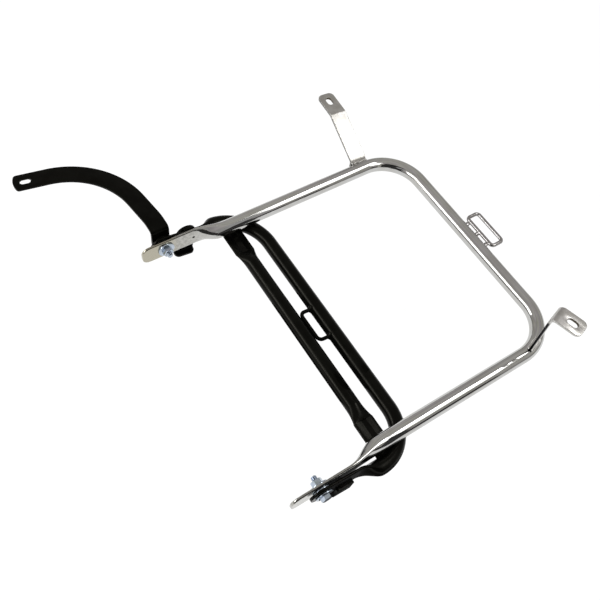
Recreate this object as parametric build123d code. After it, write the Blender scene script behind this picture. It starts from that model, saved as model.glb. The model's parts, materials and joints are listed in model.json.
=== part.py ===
from build123d import *
import math
import os

# Pannier frame: a chromed tube hoop with mounting tabs, a folding luggage shelf and a stay arm.
# It lies on its outer side. X runs across the hoop from the front leg to the rear leg,
# Y runs from the pivots to the crossbar, and Z points to the machine that carries the frame.
# Every piece is drawn with the shelf's pivot axis along X through the drawing's origin.

# Tube stock of the hoop and the shelf, and its pressed ends, whose width follows from the girth
TUBE_D = 16.0
FLAT_T = 3.0
TUBE_R = TUBE_D / 2
FLAT_W = math.pi * (TUBE_D - FLAT_T) / 2 + FLAT_T

# Hoop
LEG_SPACING = 280.0
HOOP_REACH = 300.0
HOOP_BEND_R = 46.0
HOOP_FLAT_END = 30.0
HOOP_TAPER = 49.0
TIP_REACH = {"front": 26.5, "rear": 31.0}
TIP_CORNER_R = 8.5
TIP_MARGIN = 0.5
VENT_D = 3.0
VENT_Y = 32.0
VENT_DEPTH = 1.5
LEG_X = LEG_SPACING / 2

# Pivot hardware
BOLT_D = 6.0
BOLT_CLEARANCE = 0.2
PIVOT_CLEARANCE = 0.05
SIDE_PLAY = 0.1
WASHER_D = 18.0
WASHER_T = 1.6
HEX_FLATS = 10.0
HEAD_HEIGHT = 4.0
NUT_HEIGHT = 5.0
BOLT_TAIL = 4.0
BOLT_CHAMFER = 0.5
HEX_CHAMFER = 0.6
SPACER_COUNT = 2

# Mounting tabs, bent from one flat bar stock
TAB_W = 20.0
TAB_T = 3.0
TAB_BEND_R = 5.0
TAB_END_R = 6.0
SLOT_W = 7.0
SLOT_LENGTH = 11.5
SLOT_INSET = 12.5

# Front tab: foot flat on the outer side of the front leg, then out and up to a level end
FRONT_TAB_BACK = 51.5
FRONT_TAB_TURN = 4.0
FRONT_FOOT_DROP = 4.0
FRONT_FOOT_RISE = 6.0
FRONT_STRIP_OUT = 56.5
FRONT_STRIP_RISE = 29.5
FRONT_END_REACH = 32.0
FRONT_TAB_Y = HOOP_REACH - FRONT_TAB_BACK

# Rear tab: foot on top of the rear corner, then straight up and over to a level end
REAR_TAB_TURN = 17.0
REAR_STRIP_TOP = 70.0
REAR_STRIP_LEAN = 3.0
REAR_END_REACH = 29.5

# Strap link on the crossbar
LINK_WIRE_D = 4.4
LINK_LENGTH = 48.0
LINK_WIDTH = 20.0
LINK_CORNER_R = 4.0
LINK_GAP = 2.6
LINK_RISE = 5.0
LINK_SPOT_D = 5.0
LINK_SPOT_STEP = 16.0

# Folding shelf, drawn flat and then swung to its closed place under the hoop
SHELF_REACH = 108.5
SHELF_LEG_OUT = 17.0
SHELF_BEND_R = 46.0
SHELF_FLAT_END = 39.0
SHELF_STRAIGHT = 0.5
EYE_PAST = 2.0
SHELF_REST_GAP = 0.3
SHELF_OPENING = 90.0
SHELF_LEG_X = LEG_X + SHELF_LEG_OUT
SHELF_TAPER = SHELF_REACH - SHELF_BEND_R - SHELF_STRAIGHT - SHELF_FLAT_END

# Shelf brace
BRACE_BACK = 31.0
BRACE_DROP = 2.0
BRACE_FLAT_X = 111.0
BRACE_TAPER = 17.0
BRACE_REACH = SHELF_REACH - BRACE_BACK

# Shelf strap loop
LOOP_WIRE_D = 4.0
LOOP_SPAN = 40.0
LOOP_DEPTH = 20.5
LOOP_CORNER_R = 5.0
COLLAR_HEIGHT = 2.5
COLLAR_D = 7.0

# Stop plates on the shelf eyes
STOP_T = 3.0
STOP_BEND_R = 1.5
STOP_LENGTH = {"front": 23.0, "rear": 20.0}
STOP_LAP = {"front": 26.0, "rear": 5.0}
STOP_TOP_R = {"front": 11.0, "rear": 2.0}
STOP_WELD = {"front": 10.0, "rear": 15.5}
STOP_DROP = 22.0
STOP_GAP = 0.3
STOP_BITE = 1.5
STOP_CORNER_R = 5.0

# Stay arm
ARM_W = 20.0
ARM_T = 3.0
ARM_RISE = 20.0
ARM_FOLD_R = 4.0
ARM_FOLD_RUN = 5.0
ARM_LEAD = 15.0
ARM_SLANT = 8.0
ARM_REACH = 90.5
ARM_SWEEP_R = 82.0
ARM_TURN = 80.0
ARM_TAIL = 94.6
ARM_END_R = 3.0

# Weld beads, which sink a share of their size into the corner they fill
BEAD_D = 4.5
BEAD_SINK = BEAD_D / 6

# Places across the pivots, from the hoop's inner face outwards
HOOP_INNER_FACE = LEG_X + TUBE_R - FLAT_T
HOOP_OUTER_FACE = LEG_X + TUBE_R
EYE_INNER_FACE = HOOP_OUTER_FACE + SIDE_PLAY + WASHER_T + SIDE_PLAY
EYE_OUTER_FACE = EYE_INNER_FACE + FLAT_T
SPACER_FACE = EYE_OUTER_FACE + SIDE_PLAY
ARM_INNER_FACE = SPACER_FACE + SPACER_COUNT * WASHER_T
ARM_OUTER_FACE = ARM_INNER_FACE + ARM_T

SIDES = {"front": -1, "rear": 1}
FROM_BASE = (Align.CENTER, Align.CENTER, Align.MIN)

# Shares of a pressed end's length at which its section is drawn, from the round tube to the flat
PRESS_STEPS = (0.3, 0.5, 0.75, 1.0)


def closing_angle():
    """Swing of the closed shelf below the hoop, where its corner bends meet the hoop's legs."""
    least = TUBE_D + SHELF_REST_GAP
    steepest = 0.0
    for degree in range(91):
        turn = math.radians(degree)
        aside = SHELF_LEG_X - SHELF_BEND_R * (1 - math.cos(turn)) - LEG_X
        along = SHELF_REACH - SHELF_BEND_R * (1 - math.sin(turn))
        if abs(aside) < least:
            steepest = max(steepest, math.sqrt(least**2 - aside**2) / along)
    return math.degrees(math.asin(steepest))


SHELF_SWING = Rot(X=-closing_angle())


def along_x(inner, length, radius, side):
    """Round bar on the pivot axis from inner outwards, on one side of the hoop."""
    middle = side * (inner + length / 2)
    return Pos(X=middle) * Rot(Y=90) * Cylinder(radius, length)


def hex_along_x(inner, length, side):
    """Hexagonal bar on the pivot axis, its outer corners broken by a cone."""
    prism = extrude(RegularPolygon(HEX_FLATS / 2, 6, major_radius=False), length)
    chamfer_tool = chamfer(Cylinder(HEX_FLATS / math.sqrt(3), length).edges(), HEX_CHAMFER)
    prism &= Pos(Z=length / 2) * chamfer_tool
    return Pos(X=side * inner) * Rot(Y=90 * side) * prism


def pressed_section(plane, thickness, shift):
    """Stadium of the tube's own girth, shifted along the plane's x from the tube's axis."""
    width = math.pi * (TUBE_D - thickness) / 2 + thickness
    return plane * Pos(X=shift) * Rot(Z=90) * SlotOverall(width, thickness)


def pressed_end(axis_point, aside, run, taper, flat, offset):
    """Tube end that goes from round to flat along run, its flat offset from the tube's axis."""
    def plane_at(distance):
        origin = axis_point + run * distance
        return Plane(origin, x_dir=aside, z_dir=run)

    sections = [plane_at(0) * Circle(TUBE_R)]
    for share in PRESS_STEPS:
        pressed = share * share * (3 - 2 * share)
        thickness = TUBE_D + (FLAT_T - TUBE_D) * pressed
        sections.append(pressed_section(plane_at(taper * share), thickness, offset * pressed))
    end_section = pressed_section(plane_at(taper), FLAT_T, offset)
    return loft(sections) + extrude(end_section, flat, dir=run)


def bent_bar(path, width_dir, width, thickness):
    """Flat bar swept along a path of straight runs and bends."""
    section = Plane(path @ 0, x_dir=width_dir, z_dir=path % 0) * Rectangle(width, thickness)
    return sweep(section, path)


def round_end(bar, end_point, thickness, radius):
    """Round off the two corners of the bar's end at end_point."""
    end_face = bar.faces().sort_by_distance(end_point)[0]
    corners = end_face.edges().filter_by(lambda edge: abs(edge.length - thickness) < thickness / 50)
    return fillet(corners, radius)


def slot_cut(centre, along, normal, depth):
    """Tool for an obround slot that runs along a bar."""
    outline = Plane(centre, x_dir=along, z_dir=normal) * SlotOverall(SLOT_LENGTH, SLOT_W)
    return extrude(outline, depth, both=True)


def bead(start, end):
    """Weld bead with round ends between two points."""
    run = end - start
    rod = Plane(start, z_dir=run) * Cylinder(BEAD_D / 2, run.length, align=FROM_BASE)
    return rod + Pos(start) * Sphere(BEAD_D / 2) + Pos(end) * Sphere(BEAD_D / 2)


def make_hoop_tube():
    """U of tube with both ends pressed flat, flush with the outer sides of the legs."""
    round_start = HOOP_FLAT_END + HOOP_TAPER
    corners = [
        (-LEG_X, round_start),
        (-LEG_X, HOOP_REACH),
        (LEG_X, HOOP_REACH),
        (LEG_X, round_start),
    ]
    path = FilletPolyline(*corners, radius=HOOP_BEND_R)
    tube = sweep(Plane(path @ 0, z_dir=path % 0) * Circle(TUBE_R), path)
    for name, side in SIDES.items():
        start = Vector(side * LEG_X, round_start, 0)
        flat = HOOP_FLAT_END + TIP_REACH[name]
        end = pressed_end(start, (side, 0, 0), Vector(0, -1, 0), HOOP_TAPER, flat, TUBE_R - FLAT_T / 2)
        blank = RectangleRounded(2 * (HOOP_TAPER + flat), FLAT_W + TIP_MARGIN, TIP_CORNER_R)
        tip_shape = Plane((0, round_start, 0), x_dir=(0, 1, 0), z_dir=(1, 0, 0)) * blank
        tube += end & extrude(tip_shape, LEG_SPACING, both=True)
        tube -= along_x(HOOP_INNER_FACE - FLAT_T, 3 * FLAT_T, BOLT_D / 2 + BOLT_CLEARANCE, side)
        tube -= Pos(Y=VENT_Y) * along_x(HOOP_INNER_FACE - FLAT_T, VENT_DEPTH + FLAT_T, VENT_D / 2, side)
    return tube


def front_tab_frame():
    """Plane at the front tab's foot: x outwards, y up, on the front leg's axis."""
    turn = math.radians(FRONT_TAB_TURN)
    outward = Vector(-math.cos(turn), math.sin(turn), 0)
    return Plane((-LEG_X, FRONT_TAB_Y, 0), x_dir=outward, z_dir=outward.cross(Vector(0, 0, 1)))


def rear_tab_frame():
    """Plane at the rear tab's foot: x outwards, y up, on the axis of the rear corner's bend."""
    turn = math.radians(REAR_TAB_TURN)
    outward = Vector(math.cos(turn), math.sin(turn), 0)
    bend_centre = Vector(LEG_X - HOOP_BEND_R, HOOP_REACH - HOOP_BEND_R, 0)
    return Plane(bend_centre + outward * HOOP_BEND_R, x_dir=outward, z_dir=outward.cross(Vector(0, 0, 1)))


def make_tab(frame, points, tube):
    """Bent flat bar with a slotted, rounded end, its foot fitted to the tube."""
    path = frame * FilletPolyline(*points, radius=TAB_BEND_R)
    tab = bent_bar(path, frame.z_dir, TAB_W, TAB_T)
    tab = round_end(tab, path @ 1, TAB_T, TAB_END_R)
    along = path % 1
    tab -= slot_cut(path @ 1 - along * SLOT_INSET, along, along.cross(frame.z_dir), TAB_T)
    return tab - tube


def make_front_tab(tube):
    """Front tab: foot down the leg's outer side, strip out and up, end plate outwards."""
    foot = TUBE_R + TAB_T / 2
    points = [
        (foot, -FRONT_FOOT_DROP),
        (foot, FRONT_FOOT_RISE),
        (TUBE_R + FRONT_STRIP_OUT, FRONT_STRIP_RISE),
        (TUBE_R + FRONT_STRIP_OUT + FRONT_END_REACH, FRONT_STRIP_RISE),
    ]
    return make_tab(front_tab_frame(), points, tube)


def make_rear_tab(tube):
    """Rear tab: strip up from the top of the tube, end plate outwards."""
    level = REAR_STRIP_TOP - TAB_T / 2
    points = [
        (0, TUBE_R - TAB_T / 2),
        (-REAR_STRIP_LEAN, level),
        (REAR_END_REACH - REAR_STRIP_LEAN, level),
    ]
    return make_tab(rear_tab_frame(), points, tube)


def tab_bead(frame, out, up):
    """Weld bead along a tab's foot, at a point of the tab's own plane."""
    half = (TAB_W - BEAD_D) / 2
    return bead(frame.from_local_coords((out, up, -half)), frame.from_local_coords((out, up, half)))


def make_front_tab_weld(tube, tab):
    """Bead in the corner between the front leg and the strip."""
    return tab_bead(front_tab_frame(), TUBE_R - BEAD_SINK, FRONT_FOOT_RISE - BEAD_SINK) - tube - tab


def make_rear_tab_welds(tube, tab):
    """Beads along both sides of the rear tab's foot."""
    beads = []
    for side in (-1, 1):
        beads.append(tab_bead(rear_tab_frame(), side * TAB_T / 2, TUBE_R) - tube - tab)
    return Compound(beads)


def link_place():
    """Y of the strap link's inner bar, which stands off the crossbar by the link gap."""
    reach = TUBE_R + LINK_GAP + LINK_WIRE_D / 2
    return HOOP_REACH + math.sqrt(reach**2 - LINK_RISE**2)


def make_strap_link():
    """Closed rectangular ring of wire."""
    length = LINK_LENGTH - LINK_WIRE_D
    width = LINK_WIDTH - LINK_WIRE_D
    centre = Plane((0, link_place() + width / 2, LINK_RISE))
    path = (centre * RectangleRounded(length, width, LINK_CORNER_R)).wire()
    return sweep(Plane(path @ 0, z_dir=path % 0) * Circle(LINK_WIRE_D / 2), path)


def make_strap_link_welds(tube, link):
    """Three weld spots that bridge the gap between the crossbar and the link."""
    foot = Vector(0, HOOP_REACH, 0)
    wire = Vector(0, link_place(), LINK_RISE)
    run = wire - foot
    spots = []
    for step in (-1, 0, 1):
        place = Plane(foot + Vector(step * LINK_SPOT_STEP, 0, 0), z_dir=run)
        spots.append(place * Cylinder(LINK_SPOT_D / 2, run.length, align=FROM_BASE) - tube - link)
    return Compound(spots)


def make_shelf_tube():
    """Flat U of tube with both ends pressed to pivot eyes, beside the hoop's flats."""
    round_start = SHELF_FLAT_END + SHELF_TAPER
    flat = SHELF_FLAT_END + EYE_PAST
    eye_offset = SHELF_LEG_X - EYE_INNER_FACE - FLAT_T / 2
    corners = [
        (-SHELF_LEG_X, round_start),
        (-SHELF_LEG_X, SHELF_REACH),
        (SHELF_LEG_X, SHELF_REACH),
        (SHELF_LEG_X, round_start),
    ]
    path = FilletPolyline(*corners, radius=SHELF_BEND_R)
    tube = sweep(Plane(path @ 0, z_dir=path % 0) * Circle(TUBE_R), path)
    for side in SIDES.values():
        start = Vector(side * SHELF_LEG_X, round_start, 0)
        end = pressed_end(start, (-side, 0, 0), Vector(0, -1, 0), SHELF_TAPER, flat, eye_offset)
        tube += end + Pos(Y=-EYE_PAST) * along_x(EYE_INNER_FACE, FLAT_T, FLAT_W / 2, side)
        tube -= along_x(EYE_INNER_FACE - FLAT_T, 3 * FLAT_T, BOLT_D / 2 + PIVOT_CLEARANCE, side)
    return tube


def make_shelf_brace(shelf_tube):
    """Straight tube with both ends pressed flat in the shelf's plane, coped to the legs."""
    middle = Plane((-BRACE_FLAT_X + BRACE_TAPER, BRACE_REACH, -BRACE_DROP), z_dir=(1, 0, 0))
    brace = extrude(middle * Circle(TUBE_R), 2 * (BRACE_FLAT_X - BRACE_TAPER))
    for side in SIDES.values():
        start = Vector(side * (BRACE_FLAT_X - BRACE_TAPER), BRACE_REACH, -BRACE_DROP)
        flat = SHELF_LEG_X - BRACE_FLAT_X - TUBE_R / 2
        brace += pressed_end(start, (0, 0, 1), Vector(side, 0, 0), BRACE_TAPER, flat, 0)
    coped = brace - shelf_tube
    return coped.solids().sort_by(SortBy.VOLUME)[-1]


def shelf_inner_side(along):
    """Distance from the middle to the inner side of a shelf leg or its bend, at a place along the leg."""
    into_bend = max(along - SHELF_REACH + SHELF_BEND_R, 0)
    return SHELF_LEG_X - SHELF_BEND_R + math.sqrt((SHELF_BEND_R - TUBE_R)**2 - into_bend**2)


def make_brace_weld(shelf_tube, brace, side):
    """Bead on top of a brace end, along the shelf leg."""
    half = (FLAT_W - BEAD_D) / 2 - FLAT_T
    places = (BRACE_REACH - half, BRACE_REACH + half)
    ends = [Vector(side * shelf_inner_side(along), along, 0) for along in places]
    return bead(*ends) - shelf_tube - brace


def loop_feet():
    """X of the strap loop's two feet."""
    return [side * (LOOP_SPAN - LOOP_WIRE_D) / 2 for side in (-1, 1)]


def make_strap_loop(shelf_tube):
    """Bent wire on the inner side of the shelf's cross tube."""
    bar = SHELF_REACH - LOOP_DEPTH
    left, right = loop_feet()
    corners = [(left, SHELF_REACH), (left, bar), (right, bar), (right, SHELF_REACH)]
    path = FilletPolyline(*corners, radius=LOOP_CORNER_R)
    wire = sweep(Plane(path @ 0, z_dir=path % 0) * Circle(LOOP_WIRE_D / 2), path)
    return wire - shelf_tube


def make_loop_welds(shelf_tube, loop):
    """Tapered weld collars round the loop's feet."""
    reach = TUBE_R + COLLAR_HEIGHT
    collars = []
    for foot in loop_feet():
        place = Plane((foot, SHELF_REACH, 0), z_dir=(0, -1, 0))
        cone = place * Cone(COLLAR_D / 2 + TUBE_R / 2, LOOP_WIRE_D / 2, reach, align=FROM_BASE)
        collars.append(cone - shelf_tube - loop)
    return Compound(collars)


def stop_start():
    """Y of a stop plate's leading edge: it meets the hoop's flat when the shelf is fully open."""
    opening = math.radians(SHELF_OPENING + closing_angle())
    below = FLAT_W / 2 + STOP_GAP
    return (below - STOP_DROP * math.cos(opening)) / math.sin(opening)


def make_stop_plate(shelf_tube, name):
    """Folded ear: lapped on the eye's outer face, turned in under the hoop's flat."""
    side = SIDES[name]
    length = STOP_LENGTH[name]
    web = EYE_OUTER_FACE + STOP_T / 2
    shelf_level = STOP_DROP + STOP_T / 2
    inner = HOOP_OUTER_FACE - STOP_BITE
    frame = Plane((0, stop_start() + length / 2, 0), x_dir=(side, 0, 0), z_dir=(0, -side, 0))
    points = [(web, STOP_LAP[name] - FLAT_W / 2), (web, -shelf_level), (inner, -shelf_level)]
    path = frame * FilletPolyline(*points, radius=STOP_BEND_R + STOP_T / 2)
    plate = bent_bar(path, frame.z_dir, length, STOP_T)
    plate = round_end(plate, path @ 0, STOP_T, STOP_TOP_R[name])
    return round_end(plate, path @ 1, STOP_T, STOP_CORNER_R) - shelf_tube


def make_stop_weld(plate, shelf_tube, name):
    """Bead along the top of a stop plate, where it leaves the eye's outer face."""
    place = SIDES[name] * EYE_OUTER_FACE
    middle = stop_start() + STOP_LENGTH[name] / 2
    half = (STOP_WELD[name] - BEAD_D) / 2
    level = min(STOP_LAP[name] - FLAT_W / 2, FLAT_W / 2)
    return bead(Vector(place, middle - half, level), Vector(place, middle + half, level)) - plate - shelf_tube


def make_stay_arm():
    """Flat bar: foot on the front pivot, folded level, then swept round towards the pivots' side."""
    foot = -(ARM_INNER_FACE + ARM_T / 2)
    level = ARM_RISE - ARM_T / 2
    fold_end = foot - ARM_FOLD_RUN
    side_plane = Plane((0, 0, 0), x_dir=(1, 0, 0), z_dir=(0, -1, 0))
    fold_points = [(foot, -ARM_W / 2), (foot, level), (fold_end, level)]
    fold = side_plane * FilletPolyline(*fold_points, radius=ARM_FOLD_R)
    arm = bent_bar(fold, (0, 1, 0), ARM_W, ARM_T)
    lead_end = Vector(foot - ARM_LEAD, 0, level)
    reach_end = lead_end + Vector(-ARM_REACH, 0, 0).rotate(Axis.Z, ARM_SLANT)
    tail_end = reach_end + Vector(-ARM_TAIL, 0, 0).rotate(Axis.Z, ARM_TURN)
    route = FilletPolyline((fold_end, 0, level), lead_end, reach_end, tail_end, radius=ARM_SWEEP_R)
    arm += bent_bar(route, (0, 1, 0), ARM_W, ARM_T)
    arm = round_end(arm, route @ 1, ARM_T, ARM_END_R)
    foot_blank = along_x(ARM_INNER_FACE, ARM_T, ARM_W / 2, -1)
    below = Pos(X=foot) * Box(2 * ARM_T, 2 * ARM_W, ARM_W, align=(Align.CENTER, Align.CENTER, Align.MAX))
    arm = (arm - below) + foot_blank
    arm -= along_x(ARM_INNER_FACE - ARM_T, 3 * ARM_T, BOLT_D / 2 + BOLT_CLEARANCE, -1)
    along = route % 1
    return arm - slot_cut(route @ 1 - along * SLOT_INSET, along, (0, 0, 1), ARM_T)


def washer(inner, side):
    """Plain washer on the pivot axis."""
    ring = along_x(inner, WASHER_T, WASHER_D / 2, side)
    return ring - along_x(inner - WASHER_T, 3 * WASHER_T, BOLT_D / 2 + BOLT_CLEARANCE, side)


def make_pivot(name, side):
    """Bolt, nut and washers of one pivot, keyed by node name."""
    head_seat = ARM_OUTER_FACE if name == "front" else EYE_OUTER_FACE + SIDE_PLAY
    head_face = head_seat + WASHER_T
    nut_outer = HOOP_INNER_FACE - WASHER_T
    nut_inner = nut_outer - NUT_HEIGHT
    tail = nut_inner - BOLT_TAIL
    shank = along_x(tail, head_face - tail, BOLT_D / 2, side)
    shank = chamfer(shank.edges().group_by(Axis.X)[0 if side > 0 else -1], BOLT_CHAMFER)
    nut = hex_along_x(nut_inner, NUT_HEIGHT, side)
    return {
        f"{name}_pivot_bolt": shank + hex_along_x(head_face, HEAD_HEIGHT, side),
        f"{name}_pivot_nut": nut - along_x(nut_inner, NUT_HEIGHT, BOLT_D / 2, side),
        f"{name}_nut_washer": washer(nut_outer, side),
        f"{name}_gap_washer": washer(HOOP_OUTER_FACE + SIDE_PLAY, side),
        f"{name}_head_washer": washer(head_seat, side),
    }


def make_hoop_pieces():
    """Pieces welded to the hoop, keyed by node name."""
    tube = make_hoop_tube()
    front_tab = make_front_tab(tube)
    rear_tab = make_rear_tab(tube)
    link = make_strap_link()
    return {
        "hoop_tube": tube,
        "front_tab": front_tab,
        "front_tab_weld": make_front_tab_weld(tube, front_tab),
        "rear_tab": rear_tab,
        "rear_tab_welds": make_rear_tab_welds(tube, rear_tab),
        "strap_link": link,
        "strap_link_welds": make_strap_link_welds(tube, link),
    }


def make_shelf_pieces():
    """Pieces of the shelf in its closed place, keyed by node name."""
    tube = make_shelf_tube()
    brace = make_shelf_brace(tube)
    loop = make_strap_loop(tube)
    pieces = {
        "shelf_tube": tube,
        "shelf_brace": brace,
        "shelf_strap_loop": loop,
        "shelf_loop_welds": make_loop_welds(tube, loop),
    }
    for name, side in SIDES.items():
        plate = make_stop_plate(tube, name)
        pieces[f"{name}_brace_weld"] = make_brace_weld(tube, brace, side)
        pieces[f"{name}_stop_plate"] = plate
        pieces[f"{name}_stop_weld"] = make_stop_weld(plate, tube, name)
    return {name: SHELF_SWING * piece for name, piece in pieces.items()}


def make_all():
    """Every piece, with the drawing's origin on the pivot axis."""
    pieces = make_hoop_pieces() | make_shelf_pieces()
    for name, side in SIDES.items():
        pieces |= make_pivot(name, side)
    pieces["stay_arm"] = make_stay_arm()
    spacers = [washer(SPACER_FACE + count * WASHER_T, -1) for count in range(SPACER_COUNT)]
    pieces["arm_spacer_washers"] = Compound(spacers)
    return pieces


def main():
    """Set the part on its base and write one file for each node."""
    os.makedirs("parts", exist_ok=True)
    pieces = make_all()
    box = Compound(list(pieces.values())).bounding_box()
    centre = box.center()
    base = Pos(-centre.X, -centre.Y, -box.min.Z)
    print("pivot axis at", -centre.X, -centre.Y, -box.min.Z, "closing angle", closing_angle())
    for name, piece in pieces.items():
        export_step(base * piece, f"parts/{name}.step")


main()
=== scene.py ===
from functools import partial
import json
import math

import bmesh
import bpy
from mathutils import Matrix, Quaternion, Vector


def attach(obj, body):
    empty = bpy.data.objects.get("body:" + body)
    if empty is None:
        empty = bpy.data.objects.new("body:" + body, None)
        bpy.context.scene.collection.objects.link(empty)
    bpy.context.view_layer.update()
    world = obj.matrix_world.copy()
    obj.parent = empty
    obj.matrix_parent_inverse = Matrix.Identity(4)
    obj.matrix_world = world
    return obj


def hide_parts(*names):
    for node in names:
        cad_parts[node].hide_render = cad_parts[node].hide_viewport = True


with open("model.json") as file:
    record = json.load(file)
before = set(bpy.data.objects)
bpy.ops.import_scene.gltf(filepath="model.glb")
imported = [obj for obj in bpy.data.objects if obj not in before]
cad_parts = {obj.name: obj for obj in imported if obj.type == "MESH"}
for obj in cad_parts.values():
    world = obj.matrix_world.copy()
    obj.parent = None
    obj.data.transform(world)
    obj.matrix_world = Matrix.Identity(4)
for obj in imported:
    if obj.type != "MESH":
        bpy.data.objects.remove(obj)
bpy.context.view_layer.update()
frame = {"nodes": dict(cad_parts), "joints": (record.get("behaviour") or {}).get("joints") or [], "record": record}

MM = 0.001
PIVOT = Vector(frame["joints"][0]["pos_m"])
UP = Vector((0, 0, 1))
SIDES = {"front": -1, "rear": 1}
WHITE = (1, 1, 1, 1)

# Sizes that several pieces share, in millimetres from the pivot axis

TUBE_R = 8.0
FLAT_T = 3.0
FLAT_W = math.pi * (2 * TUBE_R - FLAT_T) / 2 + FLAT_T
BEND_R = 46.0
LEG_X = 140.0
HOOP_REACH = 300.0
VENT_Y = 32.0
VENT_R = 1.5
SHELF_LEG_X = 157.0
SHELF_REACH = 108.5
EYE_OUTER = 152.8
CLOSING = math.radians(9.6562)

# How finely the pieces are drawn

AROUND = 72
WIRE_SKIP = 3
TUBE_STEP = math.radians(2)
BAR_STEP = math.radians(6)
WIRE_STEP = math.radians(9)
SHARP_ANGLE = math.radians(38)


def place(x, y, z):
    """Point in the row frame from millimetres measured at the shelf's pivot axis."""
    return PIVOT + Vector((x, y, z)) * MM


def link_object(name, data):
    """New object with its data, linked into the scene."""
    thing = bpy.data.objects.new(name, data)
    bpy.context.scene.collection.objects.link(thing)
    return thing


def aim(thing, point, target):
    """Stand a thing at a point and face it to a target, both in millimetres."""
    thing.location = place(*point)
    thing.rotation_euler = (place(*target) - thing.location).to_track_quat("-Z", "Y").to_euler()


# Camera at the photo's angle

CAMERA_POINT = (251.815, -174.537, 618.188)
IMAGE_RIGHT = Vector((0.53799447, 0.83503668, 0.11522021))
IMAGE_DOWN = Vector((0.75185605, -0.4135482, -0.5135079))
VIEW_FORWARD = Vector((-0.38114882, 0.36289343, -0.85031402))
LENS_MM = 42.758
SENSOR_MM = 36.0
CLIP_START = 0.01


def make_camera():
    """Camera that sees the frame as the photo does."""
    data = bpy.data.cameras.new("camera")
    data.lens = LENS_MM
    data.sensor_width = SENSOR_MM
    data.sensor_fit = "HORIZONTAL"
    data.clip_start = CLIP_START
    data.dof.use_dof = False
    camera = link_object("camera", data)
    axes = Matrix((IMAGE_RIGHT, -IMAGE_DOWN, -VIEW_FORWARD)).transposed()
    camera.matrix_world = Matrix.Translation(place(*CAMERA_POINT)) @ axes.to_4x4()
    bpy.context.scene.camera = camera


# Node helpers

def plug(tree, socket, value):
    """Link an output to a socket, or set the socket's own value."""
    if isinstance(value, bpy.types.NodeSocket):
        tree.links.new(value, socket)
    else:
        socket.default_value = value


def add_node(tree, kind, **sockets):
    """Node of a kind, with values or links for its named inputs."""
    node = tree.nodes.new(kind)
    for name, value in sockets.items():
        plug(tree, node.inputs[name], value)
    return node


def math_node(tree, operation, first, second=0.5):
    """Output of a math node."""
    node = tree.nodes.new("ShaderNodeMath")
    node.operation = operation
    plug(tree, node.inputs[0], first)
    plug(tree, node.inputs[1], second)
    return node.outputs[0]


def vector_node(tree, operation, first, second):
    """Vector math node of an output and a fixed vector."""
    node = tree.nodes.new("ShaderNodeVectorMath")
    node.operation = operation
    tree.links.new(first, node.inputs[0])
    node.inputs[1].default_value = second
    return node


def ramp_node(tree, value, low, high, out_low=0.0, out_high=1.0):
    """Value mapped smoothly from one range to another and held at its ends."""
    node = tree.nodes.new("ShaderNodeMapRange")
    node.interpolation_type = "SMOOTHSTEP"
    plug(tree, node.inputs["Value"], value)
    ends = {"From Min": low, "From Max": high, "To Min": out_low, "To Max": out_high}
    for name, number in ends.items():
        plug(tree, node.inputs[name], number)
    return node.outputs["Result"]


def mix_node(tree, share, first, second, kind="RGBA"):
    """Colour, or value where kind is FLOAT, between two by a share."""
    node = tree.nodes.new("ShaderNodeMix")
    node.data_type = kind
    plug(tree, node.inputs["Factor"], share)
    plug(tree, node.inputs["A"], first)
    plug(tree, node.inputs["B"], second)
    return node.outputs["Result"]


def object_point(tree):
    """Coordinates of the object, in metres."""
    return tree.nodes.new("ShaderNodeTexCoord").outputs["Object"]


def split_vector(tree, vector):
    """Node that parts a vector into X, Y and Z."""
    node = tree.nodes.new("ShaderNodeSeparateXYZ")
    tree.links.new(vector, node.inputs[0])
    return node


def noise_value(tree, point, scale, detail=3.0, roughness=0.55):
    """Grey noise at a scale in features per metre."""
    node = add_node(tree, "ShaderNodeTexNoise", Vector=point, Scale=scale, Detail=detail,
                    Roughness=roughness)
    return node.outputs["Fac"]


def new_group(name, inputs, outputs):
    """Shader node group with named value inputs and outputs."""
    group = bpy.data.node_groups.new(name, "ShaderNodeTree")
    for label, default in inputs:
        socket = group.interface.new_socket(label, in_out="INPUT", socket_type="NodeSocketFloat")
        socket.default_value = default
    for label in outputs:
        group.interface.new_socket(label, in_out="OUTPUT", socket_type="NodeSocketFloat")
    return group, group.nodes.new("NodeGroupInput"), group.nodes.new("NodeGroupOutput")


SMEAR_BAND = (0.38, 0.66)
SCRATCH_BAND = (0.60, 0.74)
SCRATCH_STRETCH = (0.12, 1.0, 1.0)


def make_handling_group():
    """Smears and wiped patches that handling leaves on a plated or coated surface."""
    inputs = [("Scale", 60.0), ("Streaks", 400.0)]
    group, given, result = new_group("handling marks", inputs, ["Smear", "Scratch"])
    point = object_point(group)
    smear = noise_value(group, point, given.outputs["Scale"], 4.0, 0.6)
    group.links.new(ramp_node(group, smear, *SMEAR_BAND), result.inputs["Smear"])
    stretched = vector_node(group, "MULTIPLY", point, SCRATCH_STRETCH)
    streak = noise_value(group, stretched.outputs[0], given.outputs["Streaks"], 2.0, 0.5)
    group.links.new(ramp_node(group, streak, *SCRATCH_BAND), result.inputs["Scratch"])
    return group


def make_skin_group():
    """Fine skin of a plated or sprayed surface: soft waves and small grain."""
    inputs = [("Wave", 90.0), ("Grain", 1800.0)]
    group, given, result = new_group("surface skin", inputs, ["Waves", "Grains"])
    point = object_point(group)
    waves = noise_value(group, point, given.outputs["Wave"], 1.0, 0.4)
    grains = noise_value(group, point, given.outputs["Grain"], 2.0, 0.6)
    group.links.new(waves, result.inputs["Waves"])
    group.links.new(grains, result.inputs["Grains"])
    return group


HANDLING = make_handling_group()
SKIN = make_skin_group()


def place_group(tree, group, **values):
    """Group placed in a material with its own values."""
    node = tree.nodes.new("ShaderNodeGroup")
    node.node_tree = group
    for name, value in values.items():
        node.inputs[name].default_value = value
    return node


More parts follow.
